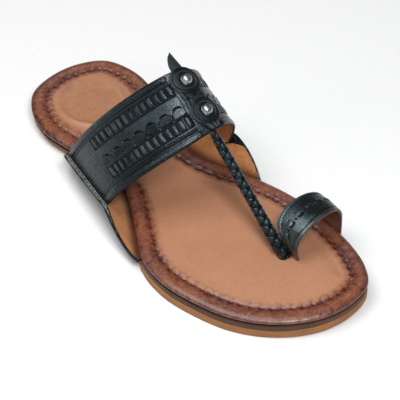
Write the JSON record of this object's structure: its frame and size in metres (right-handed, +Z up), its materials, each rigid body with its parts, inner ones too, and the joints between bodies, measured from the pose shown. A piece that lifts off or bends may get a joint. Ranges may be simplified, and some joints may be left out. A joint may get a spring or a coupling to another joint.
{
  "type": "toe-ring sandal",
  "caption": "Right-foot flat leather sandal, open at toe and heel: layered sole with padded footbed, wide woven instep strap with riveted centre tab, big-toe loop and braided toe cord.",
  "frame": {"origin": "on the floor under the middle of the heel's seat, 40 mm in front of the footbed's back", "axes": "+Z up from the floor, -Y towards the toe, +X towards the big-toe (inner) side of this right shoe"},
  "size_m": [0.12, 0.272, 0.1006],
  "materials": {
    "tan_rubber": "matt tan crepe sheet",
    "dark_board": "dark brown leather board, stained edge",
    "brown_leather": "smooth chestnut leather with a burnished rim",
    "ear_leather": "black leather, satin",
    "black_leather": "glazed black leather, glossy",
    "tab_leather": "black leather, semi-gloss",
    "cord_leather": "black plaited leather lace",
    "dark_metal": "polished gunmetal"
  },
  "bodies": {
    "root": {"outsole": "tan_rubber", "midsole": "dark_board", "footbed": "brown_leather", "ear_lateral": "ear_leather", "ear_medial": "ear_leather", "instep_strap": "black_leather", "crown_tab": "tab_leather", "rosette_rear": "tab_leather", "rosette_front": "tab_leather", "rivet_rear": "dark_metal", "rivet_front": "dark_metal", "toe_braid": "cord_leather", "toe_ring": "black_leather"}
  },
  "joints": []
}
